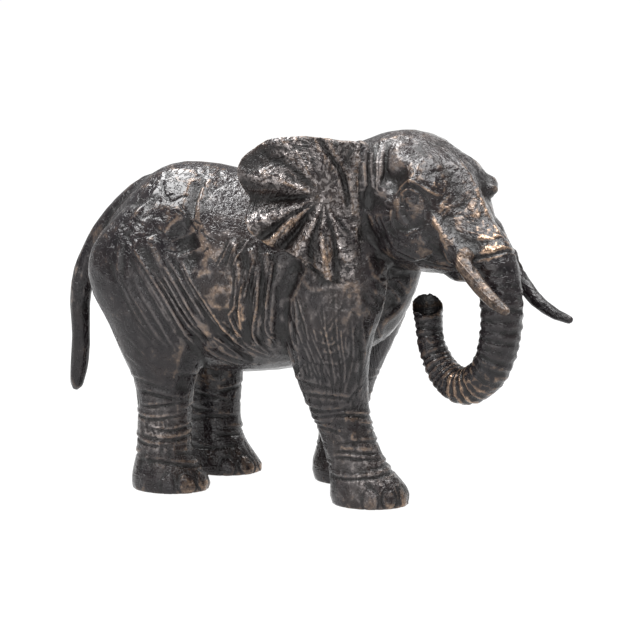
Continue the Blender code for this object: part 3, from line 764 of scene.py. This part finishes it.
def ear_folds(back, up):
    """Distance and direction from the hub of an ear's blade, and how far its folds stand out."""
    reach = np.hypot(back - EAR_HUB[0], up - EAR_HUB[1])
    angle = np.degrees(np.arctan2(up - EAR_HUB[1], back - EAR_HUB[0]))
    rise = np.zeros(len(back))
    for direction, spread, height in EAR_FOLDS:
        off = (angle + 3 * np.sin(reach * 0.22 + direction) - direction + 180) % 360 - 180
        rise += height * np.exp(-((off / spread) ** 2))
    smooth_edge = unit((reach - 25) / 7) * np.exp(-(((angle - 8) / 26) ** 2))
    return reach, angle, rise - 1.6 * smooth_edge


print(len(EAR_FOLDS), "folds on an ear")

# %% Fan both ears
EAR_STROKES = (  # the crease at the root, from the top edge down, its lip, and the upper rim
    ([(13.5, 22), (9.5, 16), (4, 9), (1.5, 2), (0.0, -5)], 1.7, -1.4, 0.12),
    ([(11, 22.5), (7, 16), (1.5, 9), (-1.2, 1)], 1.8, 0.5, 0.15),
    ([(44, 10), (38, 14.5), (30, 18), (20, 19.5)], 2.2, 0.55, 0.2),
    ([(41, 6), (34, 10), (26, 12)], 2.2, -0.5, 0.2),
)
ear_push = np.zeros(len(made))
for side in SIDES:
    back, up, _ = ear_frame(heads, side)
    reach, angle, rise = ear_folds(back, up)
    fine = 0.1 * np.sin(angle * 0.75 + 2.0 * np.sin(reach * 0.3))
    fine = fine + 0.08 * np.sin(angle * 1.7 + reach * 0.5)
    amount = (rise + fine) * unit((reach - 4) / 8)
    amount = amount * ear[side] * unit((back + 3) / 4)
    flare = EAR_FLARE[side]
    ahead, aside = math.sin(flare), side * math.cos(flare)
    c, s = math.cos(HEAD_TURN), math.sin(HEAD_TURN)
    outward = np.array([ahead * c + aside * s, -ahead * s + aside * c, 0.0])
    made = made + np.outer(amount, outward)
    outer = unit(facing @ outward * 1.5) * ear[side]
    here = ear_push, np.stack([back, up], axis=1), outer
    carve(stroke, here, EAR_STROKES)
made = made + facing * ear_push[:, None]
put(skin, made - SHIFT)
print("ears fanned")

# %% [markdown]
# ## The hammered skin
# Between the folds the casting is never smooth: the wax was tapped and scraped, so the surface has
# small dents and a crackle all over, fainter on the smooth skin above the hip and faintest on the
# tusks. Displace modifiers with a cloud and a cell pattern move the real surface a tenth or two of
# a millimetre, and the finest grain is left to the material's bump.

# %% Dents and crackle
PATTERNS = (  # name, kind, size in metres, strength in millimetres
    ("dents", "CLOUDS", 0.0042, 0.24),
    ("crackle", "VORONOI", 0.003, 0.08),
    ("grain", "CLOUDS", 0.0014, 0.05),
)


def on_tusks(heads, start):
    """Which points lie on a tusk, from a place forward in the head's frame on."""
    return (heads[:, 0] > start) & (np.abs(heads[:, 1]) > 11.5) & (heads[:, 2] > 76)


made = places(skin) + SHIFT
above_hip = np.exp(-(((made[:, 0] + 30) / 30) ** 2 + ((made[:, 2] - 118) / 20) ** 2))
amount = unit(0.5 - 0.32 * above_hip)
amount = amount * np.where(on_tusks(heads, 60), 0.15, 1.0) * (made[:, 2] > 0.8)
group = skin.vertex_groups.new(name="dents")
steps = np.clip((amount * 10).round().astype(int), 0, 10)
for step in range(1, 11):
    chosen = np.nonzero(steps == step)[0].tolist()
    if chosen:
        group.add(chosen, step / 10, "REPLACE")
only(skin)
for name, kind, scale, strength in PATTERNS:
    pattern = bpy.data.textures.new(name, kind)
    pattern.noise_scale = scale
    if kind == "VORONOI":
        pattern.distance_metric = "DISTANCE"
        pattern.weight_1, pattern.weight_2 = -1.0, 1.0
        pattern.noise_intensity = 1.3
    else:
        pattern.noise_depth = 2
    dent = skin.modifiers.new(name, "DISPLACE")
    dent.texture = pattern
    dent.texture_coords = "LOCAL"
    dent.mid_level = 0.5
    dent.strength = strength * MM
    dent.vertex_group = "dents"
    bpy.ops.object.modifier_apply(modifier=name)
skin.vertex_groups.clear()
print("dents pressed in")

# %% Thin the net to what the detail needs, and keep it inside the solid's box
TRIANGLES = 196000
SOLE = 0.00035  # m, points lower than this are set on the ground


def triangles(item):
    return sum(len(f.vertices) - 2 for f in item.data.polygons)


thin = skin.modifiers.new("thin", "DECIMATE")
thin.ratio = TRIANGLES / triangles(skin)
bpy.ops.object.modifier_apply(modifier="thin")
held = np.clip(places(skin) * MM, low_corner, high_corner)
held[held[:, 2] < SOLE, 2] = low_corner[2]
put(skin, held / MM)
bpy.ops.object.shade_smooth()
print("skin has", triangles(skin), "triangles")

# %% [markdown]
# ## Where the metal is worn and where dirt stays
# On the real piece the dark coat is rubbed off wherever a hand or a cloth touches: on every ridge,
# and most on the muzzle, the brow, the near tusk, the toes and the curl of the trunk. Comparing
# each point with the mean of its neighbours tells a ridge from a hollow, once for crisp ones and
# once for broad ones. The result is stored on the points, for the material to read.

# %% Ridges and hollows
made = places(skin)
facing = normals(skin)
ends = links(skin)
near_mean = mean_after(made, ends, 3)
far_mean = mean_after(near_mean, ends, 12)
crisp = np.einsum("ij,ij->i", made - near_mean, facing)
broad = np.einsum("ij,ij->i", near_mean - far_mean, facing)
crisp, broad = crisp - mean_after(crisp, ends, 40), broad - mean_after(broad, ends, 60)
made = made + SHIFT
heads = to_head(made)
ear = {side: ear_share(made, heads, side) for side in SIDES}
print(f"crisp ridges up to {np.percentile(crisp, 95):.3f} mm")

# %% Worn to the bronze
HANDLED = (  # x, y, z, reach, how much more is rubbed off, in the maker's frame
    ((90, -30, 120), 16, 0.55), ((98, -30, 110), 9, 0.45), ((64, -30, 130), 5, 0.8),
    ((80, -36, 128), 9, 0.3), ((110, -50, 92), 20, 1.0), ((90, -28, 54), 14, 0.9),
    ((35, -34, 68), 7, 0.5), ((44, -32, 30), 8, 0.7), ((-42, -34, 24), 8, 0.5),
    ((-28, -30, 104), 9, 0.35), ((-14, -36, 96), 8, 0.45), ((58, -20, 3), 9, 0.55),
    ((-27, -20, 3), 9, 0.5), ((-18, 20, 3), 9, 0.6), ((40, 20, 3), 9, 0.6),
    ((-7, -38, 74), 12, 0.75), ((2, -55, 108), 12, 0.7), ((24, -44, 146), 14, 0.4),
    ((-88, 0, 84), 9, 0.65), ((-30, -10, 130), 14, 0.3),
)
NEAR_TUSK_WEAR, FAR_TUSK_WEAR, LIP_WEAR = 0.62, 0.22, 0.75


def spot(place, reach, squash=1):
    """How close each point is to a spot: 1 in its middle, fading with the reach."""
    return np.exp(-(np.linalg.norm((made - place) * squash, axis=1) / reach) ** 2)


handled = np.zeros(len(made))
for place, reach, more in HANDLED:
    handled += more * spot(place, reach)
ridge = unit((crisp - 0.01) / 0.06) * 0.6 + unit((broad - 0.02) / 0.2) * 0.35
wear = ridge * (0.5 + 0.6 * handled) + 0.2 * handled
off_trunk, down_trunk, trunk_length, radius = trunk_place(heads)
on_trunk = (off_trunk < radius * 1.3) & (made[:, 0] > 60) & (down_trunk > trunk_length * 0.24)
less_above = np.clip((down_trunk / trunk_length - 0.38) * 5, 0.25, 1)
wear = np.where(on_trunk, wear * less_above, wear)
tusk_wear = np.where(heads[:, 1] < 0, NEAR_TUSK_WEAR, FAR_TUSK_WEAR)
wear = np.where(on_tusks(heads, 56), tusk_wear, wear)
# the lip round the trunk's open tip
end, before = trunk_middle[-1], trunk_middle[-2]
axis = (end - before) / np.linalg.norm(end - before)
from_end = heads - end
beyond = from_end @ axis
from_axis = np.linalg.norm(from_end - np.outer(beyond, axis), axis=1)
lip = (np.abs(beyond) < 1.3) & (from_axis > 5.2) & (from_axis < 9)
wear = unit(np.where(lip, LIP_WEAR, wear))
print(f"worn share {(wear > 0.4).mean():.3f}")

# %% [markdown]
# Elsewhere a grey, more metallic iron colour is painted on crisp ridges, on a few spots and on the
# bulges of the lower legs, and brightest on the tops of the ears' folds: partly a thin coat with
# the iron under it, partly painted glints laid where highlights fall. Two bands on each ear are
# rubbed down to bronze. Dirt stays in the hollows.

# %% Painted glints and grime
# painted glints: spots where a grey iron colour is laid on the ridges and all over, partly a thin
# coat and partly painted highlights
PAINTED_GLINT_SPOTS = (  # x, y, z, reach, share on the ridges, share all over
    ((2, -36, 82), 22, 0.4, 0.0), ((-28, -36, 80), 16, 0.35, 0.0), ((36, -30, 60), 24, 0.2, 0.0),
    ((36, -30, 90), 11, 0.3, 0.12), ((50, -24, 134), 10, 0.5, 0.1), ((64, -10, 144), 14, 0.3, 0.05),
    ((92, -26, 124), 9, 0.3, 0.14), ((-8, -30, 106), 14, 0.3, 0.06), ((-90, 0, 84), 14, 0.4, 0.0),
    ((-43, -36, 26), 10, 0.5, 0.1), ((48, -36, 16), 12, 0.6, 0.12),
)
GLINT_SPOT_SQUASH = (1, 0.6, 1)  # the spots reach further across the body


def store(name, values):
    """Keep a number or a vector for every point, for the material to read."""
    kind, field = ("FLOAT", "value") if values.ndim == 1 else ("FLOAT_VECTOR", "vector")
    layer = skin.data.attributes.new(name, kind, "POINT")
    layer.data.foreach_set(field, values.astype(np.float32).ravel())


glint_on_ridges, glint_all_over = np.full(len(made), 0.03), np.zeros(len(made))
for place, reach, ridge_share, share in PAINTED_GLINT_SPOTS:
    close = spot(place, reach, GLINT_SPOT_SQUASH)
    glint_on_ridges += ridge_share * close
    glint_all_over += share * close
# painted glint strips down the sideways-facing bulges of the lower legs
leg_bulge_glint = unit((np.abs(facing[:, 1]) - 0.8) / 0.2)
leg_bulge_glint = leg_bulge_glint * (made[:, 2] < 50) * (made[:, 2] > 4)
iron_and_painted_glint = unit(glint_on_ridges) * unit((crisp - 0.025) / 0.05)
iron_and_painted_glint = iron_and_painted_glint + glint_all_over * (1 + 2 * leg_bulge_glint)
for side in SIDES:
    back, up, _ = ear_frame(heads, side)
    reach, angle, rise = ear_folds(back, up)
    # on the ears the grey is painted brightest on the fold tops, as painted highlights
    iron_and_painted_glint = np.where(ear[side], unit(0.52 + 0.56 * rise), iron_and_painted_glint)
    bronze = np.exp(-(((angle + 43) / 4.5) ** 2))
    bronze = bronze + 0.7 * np.exp(-(((angle + 97) / 9) ** 2)) * (reach > 16)
    wear = np.where(ear[side], unit(wear + 0.4 * bronze * (reach > 8)), wear)
grime = unit((-crisp - 0.01) / 0.08) * 0.5 + unit((-broad - 0.02) / 0.2) * 0.7
store("wear", wear)
store("grime", unit(grime))
store("iron_and_painted_glint", unit(iron_and_painted_glint))
print(f"grimy share {(grime > 0.4).mean():.3f}")

# %% [markdown]
# Old hide and scraped wax have a grain: fine lines that run along the folds. Each point gets two
# lengths, across and along the nearest fold family, and a share that says how strong the grain is.
# The material draws its finest lines in those lengths, so they follow the body.

# %% The grain's direction on each part
GRAIN = ((HAUNCH, 19, 0.9), (FLANK, 15, 1.7), (FORELEG, 24, 1.7))  # lines, spacing, strength
TUSK_MIDDLE = ((50, 62, 77, 85), (106, 95, 85, 83))  # forward, and the height there
lay = np.zeros((len(made), 3))
side_view = made[:, [0, 2]]


def between_lines(flat, first, last, spacing):
    """Across and along a family of folds, and its share, for flat points."""
    first, last = (smooth_rows(np.asarray(line, float), 3) for line in (first, last))
    from_first, where, _ = along(flat, first)
    both = from_first + along(flat, last)[0]
    gap = np.linalg.norm(last - first, axis=1).mean()
    return from_first / (both + 1e-9) * spacing, where, unit(1.6 - both / gap * 0.9)


def set_grain(chosen, across, run, share):
    """Lay the grain where it is stronger than what lies there already."""
    stronger = chosen & (share > lay[:, 2])
    lay[stronger] = np.stack([across, run, share], axis=1)[stronger]


any_ear = ear[-1] | ear[1]
flank = unit(np.abs(facing[:, 1]) * 2) * ~any_ear
for lines, spacing, strength in GRAIN:
    across, where, share = between_lines(side_view, *lines, spacing)
    set_grain(made[:, 2] > 20, across, where, share * flank * strength)
for cx, cy in LEGS:
    ahead, aside, level = made[:, 0] - cx, made[:, 1] - cy, made[:, 2]
    close = (np.abs(ahead) < 24) & (np.abs(aside) < 18) & (level < 48)
    turn = np.arctan2(aside, ahead)
    share = unit((46 - level) / 16) * 0.6
    set_grain(close, level + 0.8 * np.sin(turn * 2), turn * 14, share)
for side in SIDES:
    back, up, _ = ear_frame(heads, side)
    reach = np.hypot(back - EAR_HUB[0], up - EAR_HUB[1])
    angle = np.arctan2(up - EAR_HUB[1], back - EAR_HUB[0])
    share = ear[side] * unit((reach - 3) / 10)
    set_grain(share > 0, reach * 0.9 + angle * 12, angle * 30 - reach * 0.4, share * 1.8)
print("grain laid on body, legs and ears")

# %% The grain of trunk and tusks, which replaces what lies there
trunk_share = unit(1.6 - off_trunk / radius) * (made[:, 0] > 60)
round_trunk = trunk_share * (down_trunk > trunk_length * 0.16) > 0.2
lay[round_trunk, 2] = 0
turn = np.arctan2(heads[:, 1], 6)
share = np.clip((down_trunk / trunk_length - 0.45) * 3, 0.15, 0.7)
set_grain(round_trunk, down_trunk * 1.3, turn * 8, share)
tusks = on_tusks(heads, 56) & (off_trunk > radius * 1.15)
lay[tusks, 2] = 0
above = heads[:, 2] - np.interp(heads[:, 0], *TUSK_MIDDLE)
turn = np.arctan2(np.abs(heads[:, 1]) - 17, above)
set_grain(tusks, turn * 5, heads[:, 0] * 0.5, np.full(len(made), 0.9))
store("lay", lay)
print(f"grain laid over {(lay[:, 2] > 0.1).mean():.2f} of the points")

# %% Where the casting is crinkled most: back, crown, muzzle, shoulder, feet and the ears
CRINKLED = (  # x, y, z, reach, share
    ((-34, -14, 116), 22, -0.1), ((2, -14, 118), 18, 0.7), ((8, 20, 122), 30, 0.8),
    ((-30, 20, 115), 30, 0.5), ((64, -10, 142), 22, 0.8), ((90, -28, 122), 18, 0.8),
    ((36, -30, 88), 15, 0.9), ((56, -24, 12), 20, 1.0), ((44, -32, 30), 10, 0.6),
    ((-43, -34, 26), 13, 0.8), ((-34, -20, 8), 16, 1.0), ((32, 20, 8), 16, 1.0),
    ((-26, 20, 8), 16, 1.0), ((-6, -36, 92), 20, 1.0),
)
crinkled = np.full(len(made), 0.09)
for place, reach, share in CRINKLED:
    crinkled += share * spot(place, reach)
crinkled = unit(np.maximum(crinkled, any_ear * 1.0))
store("crinkled", crinkled)
print(f"crinkled share {(crinkled > 0.5).mean():.2f}")

# %% [markdown]
# ## The patina
# One material covers the casting, because the real piece is one metal under one coat. Principled
# BSDF mixes three finishes: the near-black lacquered coat, a grey iron colour that is partly a thin
# coat and partly painted glints, and bare bronze-coloured metal. The wear attribute, broken up by
# noise, says how much bronze shows, the painted glint attribute says how much grey iron does, and
# grime darkens and dulls the creases. Bump nodes add the grain that is too fine for the mesh.

# %% A new material and short ways to add nodes
iron = bpy.data.materials.new("dark_iron_patina")
iron.use_nodes = True
nodes, wires = iron.node_tree.nodes, iron.node_tree.links
shader = nodes["Principled BSDF"]


def feed(socket, value):
    """A number or a colour is set on the socket, an output is wired to it."""
    if isinstance(value, (int, float)):
        socket.default_value = value
    elif isinstance(value, tuple):
        socket.default_value = (*value, 1)
    else:
        wires.new(value, socket)


def node(kind, inputs=(), output=0, **settings):
    """A new node with these settings and inputs, on a grid. What comes back is its output."""
    item = nodes.new(kind)
    item.location = (len(nodes) % 9 * 200 - 2000, len(nodes) // 9 * 300 - 1000)
    for key, value in settings.items():
        setattr(item, key, value)
    for key, value in inputs:
        feed(item.inputs[key], value)
    return item.outputs[output]


def ramp(factor, stops):
    """A colour, or a grey given by one number, at each stop."""
    made_colour = node("ShaderNodeValToRGB", [("Fac", factor)], "Color")
    elements = made_colour.node.color_ramp.elements
    while len(elements) < len(stops):
        elements.new(0.5)
    for element, (place, colour) in zip(elements, stops):
        element.position = place
        element.color = (*colour, 1) if isinstance(colour, tuple) else (colour, colour, colour, 1)
    return made_colour


def sums(operation, *values, clamp=False):
    """One step of arithmetic. A number stands on the node's own socket."""
    return node("ShaderNodeMath", enumerate(values), operation=operation, use_clamp=clamp)


def blend(factor, below, above):
    return node("ShaderNodeMix", [(0, factor), (6, below), (7, above)], 2, data_type="RGBA")


def noise(where, *settings, kind="FBM"):
    """Noise by its scale, detail, roughness and, where it isn't 0, distortion."""
    inputs = [("Vector", where), *zip(("Scale", "Detail", "Roughness", "Distortion"), settings)]
    return node("ShaderNodeTexNoise", inputs, "Fac", noise_type=kind)


def bump(height, distance, below=None):
    inputs = [("Height", height), ("Distance", distance)]
    if below is not None:
        inputs.append(("Normal", below))
    return node("ShaderNodeBump", inputs, "Normal")


print("node tools ready")

# %% Patterns: blotches, specks, crinkles and the lines of the grain
place_on = node("ShaderNodeTexCoord", output="Object")
crinkled_value, wear_value, grime_value, painted_glint_value = (
    node("ShaderNodeAttribute", output="Fac", attribute_name=name)
    for name in ("crinkled", "wear", "grime", "iron_and_painted_glint")
)
blotches = noise(place_on, 90.0, 5.0, 0.6)
specks = noise(place_on, 620.0, 6.0, 0.7)
hammered = noise(place_on, 430.0, 1.5, 0.5, 0.6)
crinkle = noise(place_on, 800.0, 2.0, 0.5, 1.2, kind="RIDGED_MULTIFRACTAL")
meander = noise(place_on, 300.0, 1.0, 0.5, 1.4)
off_middle = sums("ABSOLUTE", sums("SUBTRACT", meander, 0.5))
cracks = sums("DIVIDE", off_middle, 0.05, clamp=True)
squiggles = noise(place_on, 520.0, 2.0, 0.5, 1.0)
lay_value = node("ShaderNodeAttribute", output="Vector", attribute_name="lay")
lay_across, lay_run, lay_share = node("ShaderNodeSeparateXYZ", [(0, lay_value)]).node.outputs
lay_run = sums("MULTIPLY", lay_run, 0.16)
lay_place = node("ShaderNodeCombineXYZ", [(0, lay_across), (1, lay_run)])
lines = noise(lay_place, 0.75, 3.0, 0.55, 0.6, kind="RIDGED_MULTIFRACTAL")
lines = sums("MULTIPLY", lines, lay_share)
print("patterns ready")

# %% Colour: how much bare metal shows, the coat, the painted glints, and dirt in the creases
DARKEST, MIDDLE, BROWNEST = (0.0066, 0.005, 0.0068), (0.0125, 0.009, 0.0102), (0.021, 0.014, 0.0125)
COAT = [(0.3, DARKEST), (0.52, MIDDLE), (0.75, BROWNEST)]
BRONZE = [(0.25, (0.16, 0.095, 0.065)), (0.55, (0.34, 0.235, 0.165)), (0.8, (0.6, 0.46, 0.34))]
# the light grey is the colour of the painted glints, partly iron under a thin coat
IRON_GLINT_GREY, DIRT = (0.37, 0.335, 0.325), (0.0042, 0.0036, 0.0034)
broken = sums("MULTIPLY_ADD", specks, 0.9, -0.45)
patchy = sums("MULTIPLY_ADD", blotches, 0.8, -0.4)
worn = sums("ADD", sums("ADD", wear_value, broken), patchy)
bare = ramp(worn, [(0.36, 0.0), (0.6, 0.25), (0.95, 1.0)])
# the coat is lighter and browner where the skin is crinkled: partly a real tone, partly painted
# lightness in place of glints
coat_tone_and_painted_glint = sums("MULTIPLY_ADD", crinkled_value, 0.25, sums("ADD", blotches, -0.08))
coat = ramp(coat_tone_and_painted_glint, COAT)
bronze = ramp(specks, BRONZE)
unbroken = sums("SUBTRACT", 1.0, crinkled_value)
# painted glints: the grey iron colour, broken up by squiggles, laid over the coat and made metallic
glint = sums("MULTIPLY_ADD", squiggles, 6.0, -2.7, clamp=True)
glint = sums("MAXIMUM", glint, unbroken)
glint = sums("MULTIPLY", glint, painted_glint_value)
coat = blend(glint, coat, IRON_GLINT_GREY)
colour = blend(bare, coat, bronze)
dirty = blend(sums("MULTIPLY", grime_value, 0.8), colour, DIRT)
wires.new(dirty, shader.inputs["Base Color"])
metallic = sums("MULTIPLY", sums("MAXIMUM", bare, glint), 0.92)
wires.new(metallic, shader.inputs["Metallic"])
print("colour wired")

# %% Gloss and the finest relief
gloss = ramp(hammered, [(0.3, 0.1), (0.55, 0.14), (0.8, 0.22)])
wires.new(sums("MULTIPLY_ADD", grime_value, 0.25, gloss), shader.inputs["Roughness"])
shader.inputs["Specular IOR Level"].default_value = 0.42
rough = sums("MULTIPLY_ADD", crinkled_value, 0.9, 0.1)
relief = bump(cracks, 0.0001)
relief = bump(sums("MULTIPLY", crinkle, rough), 0.0002, relief)
relief = bump(sums("MULTIPLY", hammered, rough), 0.00055, relief)
relief = bump(lines, 0.0005, relief)
wires.new(relief, shader.inputs["Normal"])
skin.data.materials.append(iron)
print("patina has", len(nodes), "nodes")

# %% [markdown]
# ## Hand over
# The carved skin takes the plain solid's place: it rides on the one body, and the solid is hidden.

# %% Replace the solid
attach(skin, "root")
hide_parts("elephant")
